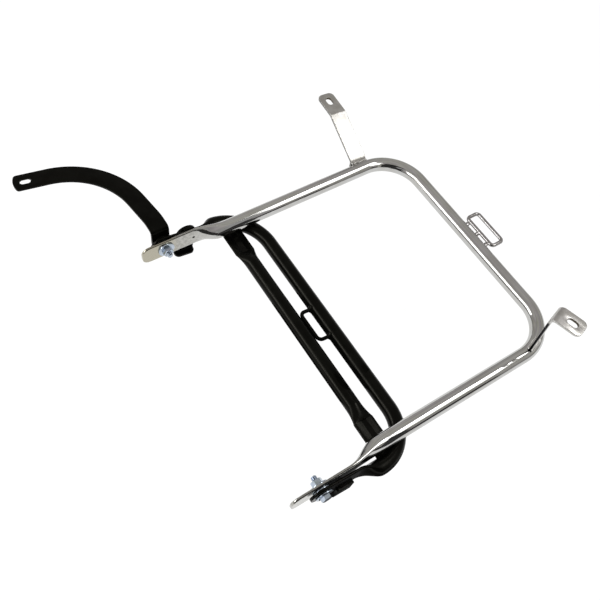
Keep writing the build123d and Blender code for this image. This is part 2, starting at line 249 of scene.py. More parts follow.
def bump(tree, shader, layers):
    """Chain of bumps, each a height with its strength and depth in metres."""
    normal = None
    for height, strength, depth in layers:
        node = add_node(tree, "ShaderNodeBump", Strength=strength, Distance=depth, Height=height)
        if normal is not None:
            tree.links.new(normal, node.inputs["Normal"])
        normal = node.outputs["Normal"]
    tree.links.new(normal, shader.inputs["Normal"])


# Finishes. For each: its clean and its smeared tone, the scales of its smears and streaks and of its
# waves and grain in features per metre, the strength and depth in metres of both bumps, and the mark
# that roughens it with the roughness at both ends

FINISH_LOOKS = {
    "bright_chrome": {
        "tones": ((0.54, 0.54, 0.53, 1), (0.49, 0.485, 0.465, 1)), "metallic": 1.0,
        "marks": (45.0, 900.0), "skin": (70.0, 2600.0),
        "bumps": ((0.05, 0.0004), (0.02, 0.0001)), "roughness": ("Smear", 0.06, 0.10),
    },
    "satin_chrome": {
        "tones": ((0.56, 0.55, 0.53, 1), (0.47, 0.46, 0.43, 1)), "metallic": 1.0,
        "marks": (110.0, 1300.0), "skin": (180.0, 3000.0),
        "bumps": ((0.03, 0.0003), (0.04, 0.00008)), "roughness": ("Scratch", 0.30, 0.40),
    },
    # Darker copy of the bright chrome for the strap ring's wire: painted shade on its reflections
    "shaded_wire_chrome": {
        "tones": ((0.43, 0.42, 0.42, 1), (0.33, 0.32, 0.31, 1)), "metallic": 1.0,
        "marks": (260.0, 1600.0), "skin": (420.0, 3200.0),
        "bumps": ((0.05, 0.0002), (0.04, 0.00006)), "roughness": ("Scratch", 0.15, 0.26),
    },
    "black_powder_coat": {
        "tones": ((0.0014, 0.0014, 0.0010, 1), (0.0027, 0.0027, 0.0021, 1)), "metallic": 0.0,
        "marks": (70.0, 500.0), "skin": (260.0, 1700.0),
        "bumps": ((0.10, 0.0004), (0.16, 0.00012)), "roughness": ("Smear", 0.17, 0.27),
    },
    "bright_zinc": {
        "tones": ((0.50, 0.56, 0.66, 1), (0.38, 0.43, 0.47, 1)), "metallic": 1.0,
        "marks": (240.0, 1500.0), "skin": (500.0, 4000.0),
        "bumps": ((0.08, 0.0002), (0.05, 0.00005)), "roughness": ("Scratch", 0.13, 0.24),
    },
}


class Finish:
    """Material of a finish, with its marks, and its colour and roughness before any further wear."""

    def __init__(self, name):
        look = FINISH_LOOKS[name]
        self.material = bpy.data.materials.new(name)
        self.material.use_nodes = True
        self.tree = self.material.node_tree
        self.shader = self.tree.nodes["Principled BSDF"]
        self.shader.inputs["Metallic"].default_value = look["metallic"]
        smears, streaks = look["marks"]
        self.marks = place_group(self.tree, HANDLING, Scale=smears, Streaks=streaks)
        waves, grain = look["skin"]
        skin = place_group(self.tree, SKIN, Wave=waves, Grain=grain)
        wave_bump, grain_bump = look["bumps"]
        layers = [(skin.outputs["Waves"], *wave_bump), (skin.outputs["Grains"], *grain_bump)]
        bump(self.tree, self.shader, layers)
        self.colour = mix_node(self.tree, self.marks.outputs["Smear"], *look["tones"])
        self.rough = self.roughened(*look["roughness"])

    def roughened(self, mark, low, high):
        """Roughness between two values by a handling mark."""
        return ramp_node(self.tree, self.marks.outputs[mark], 0.0, 1.0, low, high)

    def done(self):
        """The material, with its colour and roughness led to its shader."""
        self.tree.links.new(self.colour, self.shader.inputs["Base Color"])
        self.tree.links.new(self.rough, self.shader.inputs["Roughness"])
        return self.material


CHROME_PRESSED = (0.46, 0.455, 0.425, 1)
CHROME_SCUFFED = (0.34, 0.335, 0.31, 1)
CHROME_TIP = (0.43, 0.405, 0.325, 1)
PRESSED_FROM_Y, PRESSED_TO_Y = 52, 26
TIP_FROM_Y, TIP_TO_Y = 16, 2
FRONT_HALF_X = 40
# Painted shade inside the vent holes
VENT_SHADE = (0.03, 0.03, 0.03, 1)
VENT_SPREAD = 1.03
VENT_LIP = 0.12
VENT_BACK = 0.1


def vent_shade_mask(tree, point):
    """1 on the walls of the vent holes in the hoop's pressed ends, where shade is painted, else 0."""
    spread_y = math_node(tree, "SUBTRACT", point.outputs["Y"], place(0, VENT_Y, 0).y)
    spread_z = math_node(tree, "SUBTRACT", point.outputs["Z"], PIVOT.z)
    squares = [math_node(tree, "POWER", part, 2.0) for part in (spread_y, spread_z)]
    square = math_node(tree, "ADD", *squares)
    inside = math_node(tree, "LESS_THAN", square, (VENT_SPREAD * VENT_R * MM) ** 2)
    reach = math_node(tree, "SUBTRACT", point.outputs["X"], PIVOT.x)
    reach = math_node(tree, "ABSOLUTE", reach)
    face = (LEG_X + TUBE_R - FLAT_T) * MM
    sunk = math_node(tree, "GREATER_THAN", reach, face + VENT_LIP * MM)
    kept = math_node(tree, "LESS_THAN", reach, face + (FLAT_T - VENT_BACK) * MM)
    return math_node(tree, "MULTIPLY", math_node(tree, "MULTIPLY", inside, sunk), kept)


def make_chrome():
    """Bright chrome plate, satin and faintly yellow on the pressed tube ends, with painted shade in the vent
    holes.
    """
    finish = Finish("bright_chrome")
    tree = finish.tree
    point = split_vector(tree, object_point(tree))
    along = point.outputs["Y"]
    pressed = ramp_node(tree, along, place(0, PRESSED_FROM_Y, 0).y, place(0, PRESSED_TO_Y, 0).y)
    scuffs = place_group(tree, HANDLING, Scale=330.0, Streaks=1900.0)
    worn = mix_node(tree, scuffs.outputs["Smear"], CHROME_PRESSED, CHROME_SCUFFED)
    front = ramp_node(tree, point.outputs["X"], place(FRONT_HALF_X, 0, 0).x,
                      place(-FRONT_HALF_X, 0, 0).x)
    tip = ramp_node(tree, along, place(0, TIP_FROM_Y, 0).y, place(0, TIP_TO_Y, 0).y)
    tip = math_node(tree, "MULTIPLY", tip, front)
    colour = mix_node(tree, pressed, finish.colour, worn)
    colour = mix_node(tree, tip, colour, CHROME_TIP)
    # Painted shade: the vent holes' walls are darkened
    finish.colour = mix_node(tree, vent_shade_mask(tree, point), colour, VENT_SHADE)
    satin = finish.roughened("Scratch", 0.16, 0.26)
    finish.rough = mix_node(tree, pressed, finish.rough, satin, "FLOAT")
    return finish.done()


# Painted dark reflection for the risers' side edges, stronger towards the rear tab
EDGE_DARK_REFLECTION = (0.022, 0.022, 0.024, 1)
# Painted shade for the walls of the tabs' slots
SLOT_WALL_SHADE = (0.085, 0.072, 0.055, 1)
SIDE_FACING_TILT = (0.80, 0.92)
RISER_TOP_Z, RISER_FULL_Z = 63, 59
REFLECTION_HALF_X = 100
REFLECTION_SHARES = (0.62, 1.0)
TAB_SLOTS = ("front_tab_slot", "rear_tab_slot")
SLOT_WALL_REACH = 6.8
SLOT_WALL_TILT = 0.75


def shaded_slot_walls(tree, facing):
    """1 on the upright walls of the tabs' slots, where shade is painted, else 0."""
    tilt = math_node(tree, "ABSOLUTE", facing.outputs["Z"])
    walls = math_node(tree, "LESS_THAN", tilt, SLOT_WALL_TILT)
    near = 0.0
    for mount in frame["record"]["mounts"]:
        if mount["name"] in TAB_SLOTS:
            reach = vector_node(tree, "DISTANCE", object_point(tree), mount["pos_m"])
            close = math_node(tree, "LESS_THAN", reach.outputs["Value"], SLOT_WALL_REACH * MM)
            near = math_node(tree, "MAXIMUM", close, near)
    return math_node(tree, "MULTIPLY", walls, near)


def make_satin_chrome():
    """Chrome plate over unpolished bar, with a painted dark reflection on the risers' side edges and painted shade
    on the slots' walls.
    """
    finish = Finish("satin_chrome")
    tree = finish.tree
    facing = split_vector(tree, tree.nodes.new("ShaderNodeNewGeometry").outputs["Normal"])
    point = split_vector(tree, object_point(tree))
    tilt = math_node(tree, "ABSOLUTE", facing.outputs["Y"])
    side_facing = ramp_node(tree, tilt, *SIDE_FACING_TILT)
    riser = ramp_node(tree, point.outputs["Z"], place(0, 0, RISER_TOP_Z).z,
                      place(0, 0, RISER_FULL_Z).z)
    rear = ramp_node(tree, point.outputs["X"], place(-REFLECTION_HALF_X, 0, 0).x,
                     place(REFLECTION_HALF_X, 0, 0).x, *REFLECTION_SHARES)
    # Painted dark reflection: side edges of the risers that face along Y are darkened, more on the rear tab
    edge_reflection = math_node(tree, "MULTIPLY", math_node(tree, "MULTIPLY", side_facing, riser), rear)
    colour = mix_node(tree, edge_reflection, finish.colour, EDGE_DARK_REFLECTION)
    # Painted shade: the slots' upright walls are darkened
    finish.colour = mix_node(tree, shaded_slot_walls(tree, facing), colour, SLOT_WALL_SHADE)
    return finish.done()


COAT_SHEEN = (1.0, 0.97, 0.84, 1)
COAT_SPECULAR = 0.08


def make_black_coat():
    """Satin black powder coat with fine grain and wiped patches."""
    finish = Finish("black_powder_coat")
    finish.shader.inputs["Specular IOR Level"].default_value = COAT_SPECULAR
    finish.shader.inputs["Specular Tint"].default_value = COAT_SHEEN
    return finish.done()


def make_finishes():
    """Materials of the record's slots, and of the tabs' satin and the strap ring's wire, whose darker chrome is
    painted shade.
    """
    return {
        "chrome": make_chrome(),
        "satin_chrome": make_satin_chrome(),
        "shaded_wire_chrome": Finish("shaded_wire_chrome").done(),
        "black_coat": make_black_coat(),
        "zinc": Finish("bright_zinc").done(),
    }


def dress_nodes(finishes):
    """Give every CAD node the finish of its slot."""
    for entry in frame["record"]["subparts"]:
        node = frame["nodes"][entry["node"]]
        node.data.materials.clear()
        node.data.materials.append(finishes[entry["material_slot"]])


# Shape helpers, in millimetres

def swung(point):
    """Point of the flat shelf, turned to its closed place under the hoop."""
    return Quaternion((1, 0, 0), -CLOSING) @ Vector(point)


def swung_rings(rings):
    """Rings of the flat shelf, turned to their closed place."""
    return [[swung(point) for point in ring] for ring in rings]


def smooth(share):
    """Soft step from 0 to 1."""
    share = min(max(share, 0.0), 1.0)
    return share * share * (3 - 2 * share)


def spread(start, end, count):
    """Even places from start to end."""
    return [start + (end - start) * step / count for step in range(count + 1)]


def turns(count):
    """Even angles round a full turn."""
    return [2 * math.pi * step / count for step in range(count)]


def add_piece(mesh, name, finish, body, slot, *nodes):
    """Link a finished mesh as a piece that stands for CAD nodes and rides on a body."""
    data = bpy.data.meshes.new(name)
    bmesh.ops.recalc_face_normals(mesh, faces=mesh.faces)
    mesh.to_mesh(data)
    mesh.free()
    data.shade_smooth()
    data.set_sharp_from_angle(angle=SHARP_ANGLE)
    data.materials.append(finish)
    piece = link_object(name, data)
    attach(piece, body)
    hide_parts(*nodes)
    return piece


def skin_rings(mesh, rings, closed):
    """Skin over rings of points, capped at both ends unless the run is closed."""
    loops = [[mesh.verts.new(place(*point)) for point in ring] for ring in rings]
    pairs = list(zip(loops, loops[1:]))
    if closed:
        pairs.append((loops[-1], loops[0]))
    for near, far in pairs:
        for here in range(len(near)):
            there = (here + 1) % len(near)
            mesh.faces.new((near[here], near[there], far[there], far[here]))
    if not closed:
        mesh.faces.new(loops[0])
        mesh.faces.new(loops[-1])


def skinned(*runs, closed=False):
    """New mesh with a skin over each run of rings."""
    mesh = bmesh.new()
    for rings in runs:
        skin_rings(mesh, rings, closed)
    return mesh


def bent_run(corners, radius, step):
    """Points and directions along straight runs joined by bends of one radius."""
    corners = [Vector(corner) for corner in corners]
    run = [(corners[0], (corners[1] - corners[0]).normalized())]
    for before, corner, after in zip(corners, corners[1:], corners[2:]):
        into = (corner - before).normalized()
        away = (after - corner).normalized()
        turn = into.angle(away)
        start = corner - into * radius * math.tan(turn / 2)
        axis = into.cross(away).normalized()
        centre = start + axis.cross(into) * radius
        steps = max(2, math.ceil(turn / step))
        for count in range(steps + 1):
            spin = Quaternion(axis, turn * count / steps)
            run.append((centre + spin @ (start - centre), spin @ into))
    run.append((corners[-1], (corners[-1] - corners[-2]).normalized()))
    return run


# Tubes and wires

def round_section(share):
    """Point of the round tube at a share of its girth, from its inner side upwards."""
    angle = 2 * math.pi * share
    return TUBE_R * math.cos(angle), TUBE_R * math.sin(angle)


def flat_section(share):
    """Point of the pressed tube at a share of its girth, from the middle of its inner face up."""
    half = (FLAT_W - FLAT_T) / 2
    cap = math.pi * FLAT_T / 2
    along = share * (4 * half + 2 * cap)
    edge = FLAT_T / 2
    if along <= half:
        return edge, along
    along -= half
    if along <= cap:
        turn = along / edge
        return edge * math.cos(turn), half + edge * math.sin(turn)
    along -= cap
    if along <= 2 * half:
        return -edge, half - along
    along -= 2 * half
    if along <= cap:
        turn = along / edge
        return -edge * math.cos(turn), -half - edge * math.sin(turn)
    return edge, along - cap - half


SHARES = [count / AROUND for count in range(AROUND)]
ROUND = [round_section(share) for share in SHARES]
FLAT = [flat_section(share) for share in SHARES]


def tube_rings(run, up, wall=TUBE_R):
    """Round rings along a run that lies square to up."""
    rings = []
    for point, along in run:
        aside = along.cross(up)
        rings.append([point + aside * (a * wall / TUBE_R) + up * (z * wall / TUBE_R)
                      for a, z in ROUND])
    return rings


def wire_rings(run, radius):
    """Rings of round wire along a level run."""
    return [ring[::WIRE_SKIP] for ring in tube_rings(run, UP, radius)]


def pressed_ring(origin, aside, up, shift, opened, narrow=1.0):
    """Ring between flat and round: opened gives the share of roundness at each point of the girth."""
    ring = []
    for (flat_a, flat_z), (round_a, round_z) in zip(FLAT, ROUND):
        share = opened(flat_a, flat_z / (FLAT_W / 2))
        a = (flat_a + shift) * (1 - share) + round_a * share
        z = flat_z * narrow * (1 - share) + round_z * share
        ring.append(origin + aside * a + up * z)
    return ring


TIP_DEGREES = (4, 10, 18, 28, 40, 54, 70, 90)


def rounded_tip(tip, corner):
    """Places and widths of a flat end with round corners, from its tip inwards."""
    half = FLAT_W / 2
    places = []
    for turn in map(math.radians, TIP_DEGREES):
        width = (half - corner + corner * math.sin(turn)) / half
        places.append((tip + corner * (1 - math.cos(turn)), width))
    return places


def still_flat(flat_a, height):
    """Roundness of a tip that stays flat."""
    return 0.0


def pressed_end(side, leg_x, shift, tip, places, opening):
    """Rings of a tube's pressed end: its tip, then the places past a level where it opens."""
    aside = Vector((-side, 0, 0))
    rings = []
    for y, width in tip:
        origin = Vector((side * leg_x, y, 0))
        rings.append(pressed_ring(origin, aside, UP, shift, still_flat, width))
    level, pasts = places
    for past in pasts:
        origin = Vector((side * leg_x, level + past, 0))
        rings.append(pressed_ring(origin, aside, UP, shift, opening(past)))
    return rings


def bent_tube(ends, leg_x, start, reach):
    """Rings of a U of tube, from its front end over both bends to its rear end."""
    corners = [(-leg_x, start, 0), (-leg_x, reach, 0), (leg_x, reach, 0), (leg_x, start, 0)]
    bends = tube_rings(bent_run(corners, BEND_R, TUBE_STEP), UP)
    return ends["front"][:-1] + bends + ends["rear"][-2::-1]


HOOP_FLAT_END = 30.0
HOOP_TAPER = 49.0
HOOP_STATIONS = 60
TIP_REACH = {"front": 26.5, "rear": 31.0}
TIP_CORNER_R = 8.5
NOSE_RUN = {"front": 25.0, "rear": 36.0}
NOSE_BLUNT = {"front": 0.75, "rear": 0.9}
NOSE_LEAD = 2.5
NOSE_SLANT = 3.0
NOSE_RIM = 4
DRILL_BACK = 0.4
DRILL_LENGTH = 6.0
DRILL_SIDES = 32


def nose_opening(name, past):
    """Roundness of the hoop's end at a distance past its flat: the inner face swells in a nose."""
    def opened(flat_a, height):
        whole = smooth(past / HOOP_TAPER)
        if flat_a <= 0:
            return whole
        nose = smooth((past - NOSE_LEAD + NOSE_SLANT * height) / NOSE_RUN[name])
        rim = height ** NOSE_RIM
        return max(nose ** NOSE_BLUNT[name] * (1 - rim) + whole * rim, whole)
    return opened


def bore_vents(piece, points):
    """Bore the vent holes along X into a piece, at points in millimetres."""
    drill = bmesh.new()
    for point in points:
        turn = Matrix.Translation(place(*point)) @ Matrix.Rotation(math.pi / 2, 4, "Y")
        bmesh.ops.create_cone(drill, cap_ends=True, segments=DRILL_SIDES, radius1=VENT_R * MM,
                              radius2=VENT_R * MM, depth=DRILL_LENGTH * MM, matrix=turn)
    data = bpy.data.meshes.new("drill")
    drill.to_mesh(data)
    drill.free()
    tool = link_object("drill", data)
    bore = piece.modifiers.new("bore", "BOOLEAN")
    bore.operation = "DIFFERENCE"
    bore.object = tool
    bored = piece.evaluated_get(bpy.context.evaluated_depsgraph_get())
    bored = bpy.data.meshes.new_from_object(bored)
    piece.modifiers.remove(bore)
    piece.data = bored
    bpy.data.objects.remove(tool)
    piece.data.set_sharp_from_angle(angle=SHARP_ANGLE)


def make_hoop(finish):
    """Chromed hoop: round bends and legs, pressed ends with a blunt nose."""
    shift = -(TUBE_R - FLAT_T / 2)
    places = (HOOP_FLAT_END, spread(0, HOOP_TAPER, HOOP_STATIONS))
    ends = {}
    for name, side in SIDES.items():
        tip = rounded_tip(-TIP_REACH[name], TIP_CORNER_R)
        ends[name] = pressed_end(side, LEG_X, shift, tip, places, partial(nose_opening, name))
    rings = bent_tube(ends, LEG_X, HOOP_FLAT_END + HOOP_TAPER, HOOP_REACH)
    hoop = add_piece(skinned(rings), "chromed_hoop", finish, "hoop", "chrome", "hoop_tube")
    drill_x = LEG_X + TUBE_R - FLAT_T - DRILL_BACK
    bore_vents(hoop, [(side * drill_x, VENT_Y, 0) for side in SIDES.values()])


SHELF_FLAT_END = 39.0
SHELF_TAPER = 23.0
SHELF_STATIONS = 30
EYE_PAST = 2.0


def shelf_opening(past):
    """Roundness of the shelf's end at a distance past its flat."""
    return lambda flat_a, height: smooth(past / SHELF_TAPER)


def make_shelf(finish):
    """Black folding shelf: flat U of tube with pressed pivot eyes."""
    shift = SHELF_LEG_X - EYE_OUTER + FLAT_T / 2
    tip = rounded_tip(-EYE_PAST - FLAT_W / 2, FLAT_W / 2)
    places = (SHELF_FLAT_END, spread(0, SHELF_TAPER, SHELF_STATIONS))
    ends = {}
    for name, side in SIDES.items():
        ends[name] = pressed_end(side, SHELF_LEG_X, shift, tip, places, shelf_opening)
    rings = bent_tube(ends, SHELF_LEG_X, SHELF_FLAT_END + SHELF_TAPER, SHELF_REACH)
    mesh = skinned(swung_rings(rings))
    add_piece(mesh, "folding_shelf", finish, "shelf", "black_coat", "shelf_tube")


BRACE_Y = 77.5
BRACE_DROP = 2.0
BRACE_FLAT_X = 111.0
BRACE_TAPER = 17.0
BRACE_END_X = 153.0
BRACE_STATIONS = 24
BRACE_CREASE = 0.8
BRACE_SWELL = 0.25


def brace_opening(past):
    """Roundness of the brace at a distance past its flat, which starts in a crease."""
    share = min(max(past / BRACE_TAPER, 0.0), 1.0)
    opened = share ** BRACE_CREASE * (1 + BRACE_SWELL - BRACE_SWELL * share)
    return lambda flat_a, height: opened


def make_brace(finish):
    """Black brace across the shelf, pressed flat at both ends."""
    places = [-BRACE_END_X]
    places += [past - BRACE_FLAT_X for past in spread(0, BRACE_TAPER, BRACE_STATIONS)]
    places += [-place_x for place_x in reversed(places)]
    rings = []
    for place_x in places:
        origin = Vector((place_x, BRACE_Y, -BRACE_DROP))
        opened = brace_opening(BRACE_FLAT_X - abs(place_x))
        rings.append(pressed_ring(origin, UP, Vector((0, 1, 0)), 0, opened))
    mesh = skinned(swung_rings(rings))
    add_piece(mesh, "shelf_brace_tube", finish, "shelf", "black_coat", "shelf_brace")


def lumpy_ring(centre, aside, across, radius, sides, swell, lobes, phase):
    """Ring of a weld lump: a circle that swells in some lobes."""
    ring = []
    for turn in turns(sides):
        lump = radius * (1 + swell * math.sin(lobes * turn + phase))
        ring.append(centre + aside * (lump * math.cos(turn)) + across * (lump * math.sin(turn)))
    return ring


LINK_WIRE_R = 2.2
LINK_HALF = (21.8, 7.8)
LINK_CORNER_R = 4.0
LINK_RISE = 5.0
LINK_GAP = 2.6
LINK_Y = HOOP_REACH + math.sqrt((TUBE_R + LINK_GAP + LINK_WIRE_R) ** 2 - LINK_RISE ** 2)
LINK_SPOT_STEP = 16.0
# Shares of the way from the crossbar's middle to the wire's, each with the spot's radius there
SPOT_PROFILE = [(0.50, 3.1), (0.60, 2.9), (0.68, 2.45), (0.76, 2.3), (0.84, 2.35), (0.92, 2.1),
                (1.0, 1.2)]


def weld_spot(foot, wire):
    """Rings of a waisted lump of weld from the crossbar to the wire."""
    run = wire - foot
    aside = Vector((1, 0, 0))
    across = run.normalized().cross(aside)
    return [lumpy_ring(foot + run * share, aside, across, radius, 20, 0.06, 3, 9 * share + foot.x)
            for share, radius in SPOT_PROFILE]


def make_strap_ring(finish):
    """Closed ring of chromed wire on the crossbar, and the weld spots that hold it."""
    half_x, half_y = LINK_HALF
    near = LINK_Y
    far = LINK_Y + 2 * half_y
    corners = [(0, near), (half_x, near), (half_x, far), (-half_x, far), (-half_x, near), (0, near)]
    run = bent_run([(x, y, LINK_RISE) for x, y in corners], LINK_CORNER_R, WIRE_STEP)
    mesh = skinned(wire_rings(run[:-1], LINK_WIRE_R), closed=True)
    add_piece(mesh, "strap_ring", finish, "hoop", "chrome", "strap_link")
    spots = []
    for spot_x in (-LINK_SPOT_STEP, 0, LINK_SPOT_STEP):
        foot = Vector((spot_x, HOOP_REACH, 0))
        spots.append(weld_spot(foot, Vector((spot_x, LINK_Y, LINK_RISE))))
    mesh = skinned(*spots)
    add_piece(mesh, "strap_ring_weld_spots", finish, "hoop", "chrome", "strap_link_welds")


LOOP_WIRE_R = 2.0
LOOP_HALF = 18.0
LOOP_DEPTH = 20.5
LOOP_CORNER_R = 5.0
# Distances in from the cross tube's middle, each with the collar's radius there
COLLAR_PROFILE = [(6.4, 5.2), (7.2, 4.6), (7.9, 3.9), (8.6, 3.2), (9.4, 2.7), (10.4, 1.9)]


def weld_collar(side):
    """Rings of the weld collar round one foot of the strap loop."""
    rings = []
    for back, radius in COLLAR_PROFILE:
        centre = Vector((side * LOOP_HALF, SHELF_REACH - back, 0))
        rings.append(lumpy_ring(centre, Vector((1, 0, 0)), UP, radius, 24, 0.05, 4, back))
    return swung_rings(rings)


def make_strap_loop(finish):
    """Black wire loop inside the shelf's cross tube, and its weld collars."""
    bar = SHELF_REACH - LOOP_DEPTH
    foot = SHELF_REACH - TUBE_R / 2
    corners = [(-LOOP_HALF, foot, 0), (-LOOP_HALF, bar, 0), (LOOP_HALF, bar, 0),
               (LOOP_HALF, foot, 0)]
    rings = wire_rings(bent_run(corners, LOOP_CORNER_R, WIRE_STEP), LOOP_WIRE_R)
    mesh = skinned(swung_rings(rings))
    add_piece(mesh, "shelf_strap_wire", finish, "shelf", "black_coat", "shelf_strap_loop")
    mesh = skinned(*[weld_collar(side) for side in SIDES.values()])
    add_piece(mesh, "strap_wire_weld_collars", finish, "shelf", "black_coat", "shelf_loop_welds")


# Flat bar: blanks cut with broken edges, then bent along their runs

EDGE = 0.45
EDGE_STEPS = 2
SLOT_HALF = 2.25
SLOT_R = 3.5
SLOT_INSET = 12.5


def arc_points(centre, radius, start, end, count=8):
    """Points of an arc between two angles in degrees."""
    points = []
    for angle in spread(math.radians(start), math.radians(end), count):
        points.append((centre[0] + radius * math.cos(angle), centre[1] + radius * math.sin(angle)))
    return points


def slot_outline(centre, turn=0.0):
    """Obround slot whose length runs along a turned X axis, wound against the outline."""
    points = arc_points((SLOT_HALF, 0), SLOT_R, 90, -90, 12)
    points += arc_points((-SLOT_HALF, 0), SLOT_R, 270, 90, 12)
    cosine, sine = math.cos(turn), math.sin(turn)
    return [(centre[0] + x * cosine - y * sine, centre[1] + x * sine + y * cosine)
            for x, y in points]


def cut_blank(outline, holes, thickness):
    """Flat sheet with holes and broken edges, lying round the XY plane."""
    curve = bpy.data.curves.new("blank", "CURVE")
    curve.dimensions = "2D"
    curve.fill_mode = "BOTH"
    curve.extrude = thickness / 2 - EDGE
    curve.bevel_depth = EDGE
    curve.bevel_resolution = EDGE_STEPS
    curve.offset = -EDGE
    for loop in [outline] + holes:
        spline = curve.splines.new("POLY")
        spline.points.add(len(loop) - 1)
        for point, (x, y) in zip(spline.points, loop):
            point.co = (x, y, 0, 1)
        spline.use_cyclic_u = True
    sheet = bpy.data.objects.new("blank", curve)
    data = bpy.data.meshes.new_from_object(sheet)
    bpy.data.objects.remove(sheet)
    bpy.data.curves.remove(curve)
    mesh = bmesh.new()
    mesh.from_mesh(data)
    bpy.data.meshes.remove(data)
    bmesh.ops.remove_doubles(mesh, verts=mesh.verts, dist=0.001)
    return mesh


def score(mesh, places):
    """Cut the blank across at places along X, so that it can bend there."""
    for place_x in places:
        geometry = list(mesh.verts) + list(mesh.edges) + list(mesh.faces)
        bmesh.ops.bisect_plane(mesh, geom=geometry, plane_co=(place_x, 0, 0), plane_no=(1, 0, 0),
                               dist=0.0001)


def run_lengths(run):
    """Length along a run at each of its points."""
    lengths = [0.0]
    for (near, _), (far, _) in zip(run, run[1:]):
        lengths.append(lengths[-1] + (far - near).length)
    return lengths


def bend_blank(mesh, run, across, settle=Vector):
    """Bend a blank along a run: X becomes the way along it, Y its width and Z its upper face."""
    lengths = run_lengths(run)
    score(mesh, lengths[1:-1])
    for vert in mesh.verts:
        along = min(max(vert.co.x, 0.0), lengths[-1])
        here = max(index for index in range(len(lengths) - 1) if lengths[index] <= along + 1e-6)
        span = max(lengths[here + 1] - lengths[here], 1e-9)
        share = (along - lengths[here]) / span
        point = run[here][0].lerp(run[here + 1][0], share)
        heading = run[here][1].lerp(run[here + 1][1], share).normalized()
        face = heading.cross(across)
        vert.co = place(*settle(point + across * vert.co.y + face * vert.co.z))


def bar_outline(length, width, start_r, end_r):
    """Outline of a straight bar along X with rounded ends."""
    half = width / 2
    outline = arc_points((start_r, -half + start_r), start_r, 180, 270)
    outline += arc_points((length - end_r, -half + end_r), end_r, 270, 360)
    outline += arc_points((length - end_r, half - end_r), end_r, 0, 90)
    return outline + arc_points((start_r, half - start_r), start_r, 90, 180)


TAB_W = 20.0
TAB_T = 3.0
TAB_BEND_R = 5.0
TAB_FOOT_R = 0.8
TAB_END_R = 6.0
FRONT_TAB_TURN = math.radians(4)
FRONT_TAB_OUT = Vector((-math.cos(FRONT_TAB_TURN), math.sin(FRONT_TAB_TURN), 0))
FRONT_TAB_FOOT = Vector((-LEG_X, HOOP_REACH - 51.5, 0))
FRONT_TAB_SIDE = TUBE_R + TAB_T / 2
FRONT_TAB_RUN = [(FRONT_TAB_SIDE, -4), (FRONT_TAB_SIDE, 6), (TUBE_R + 56.5, 29.5),
                 (TUBE_R + 88.5, 29.5)]
REAR_TAB_TURN = math.radians(17)
REAR_TAB_OUT = Vector((math.cos(REAR_TAB_TURN), math.sin(REAR_TAB_TURN), 0))
REAR_TAB_FOOT = Vector((LEG_X - BEND_R, HOOP_REACH - BEND_R, 0)) + REAR_TAB_OUT * BEND_R
REAR_TAB_RUN = [(0, TUBE_R - TAB_T / 2), (-3, 68.5), (26.5, 68.5)]


def make_tab(name, finish, foot, outward, points, *nodes):
    """Bent chromed tab with a slotted end, its runs given outwards and upwards from its foot."""
    corners = [foot + outward * out + UP * rise for out, rise in points]
    run = bent_run(corners, TAB_BEND_R, BAR_STEP)
    length = run_lengths(run)[-1]
    slot = slot_outline((length - SLOT_INSET, 0))
    mesh = cut_blank(bar_outline(length, TAB_W, TAB_FOOT_R, TAB_END_R), [slot], TAB_T)
    bend_blank(mesh, run, outward.cross(UP))
    add_piece(mesh, name, finish, "hoop", "chrome", *nodes)


def make_tabs(finish):
    """The two mounting tabs."""
    make_tab("front_mounting_tab", finish, FRONT_TAB_FOOT, FRONT_TAB_OUT, FRONT_TAB_RUN,
             "front_tab")
    make_tab("rear_mounting_tab", finish, REAR_TAB_FOOT, REAR_TAB_OUT, REAR_TAB_RUN, "rear_tab")


STOP_T = 3.0
STOP_START = 15.927
STOP_LENGTH = {"front": 23.0, "rear": 20.0}
STOP_LAP = {"front": 26.0, "rear": 5.0}
STOP_TOP_R = {"front": 11.0, "rear": 2.0}
STOP_CORNER_R = 5.0
STOP_BEND_R = 3.0
STOP_LIP_X = 146.5
STOP_LIP_Z = -23.5


def make_stop_ears(finish):
    """Folded ears on the shelf's eyes, which swing in under the hoop's ends as the shelf opens."""
    for name, side in SIDES.items():
        length = STOP_LENGTH[name]
        web = side * (EYE_OUTER + STOP_T / 2)
        middle = STOP_START + length / 2
        corners = [(web, middle, STOP_LAP[name] - FLAT_W / 2), (web, middle, STOP_LIP_Z),
                   (side * STOP_LIP_X, middle, STOP_LIP_Z)]
        run = bent_run(corners, STOP_BEND_R, WIRE_STEP)
        blank = bar_outline(run_lengths(run)[-1], length, STOP_TOP_R[name], STOP_CORNER_R)
        mesh = cut_blank(blank, [], STOP_T)
        bend_blank(mesh, run, Vector((0, 1, 0)), swung)
        add_piece(mesh, name + "_stop_ear", finish, "shelf", "black_coat", name + "_stop_plate")


ARM_HALF = 10.0
ARM_T = 3.0
ARM_FOOT_X = -157.6
ARM_LEVEL = 18.5
ARM_FOLD_R = 4.0
ARM_FOLD_RUN = 5.0
ARM_FOLD_X = ARM_FOOT_X - ARM_FOLD_RUN
ARM_FOLD_LEAD = ARM_FOLD_RUN - ARM_FOLD_R
ARM_FOLD_BEND = ARM_FOLD_R * math.pi / 2
ARM_FOLD_STEPS = 10
ARM_LEAD = 15.0
ARM_SLANT = math.radians(8)
ARM_REACH = 90.5
ARM_TURN = math.radians(80)
ARM_TAIL = 94.6
ARM_SWEEP_R = 82.0
ARM_END_R = 2.2
ARM_END_BOW = 2.6


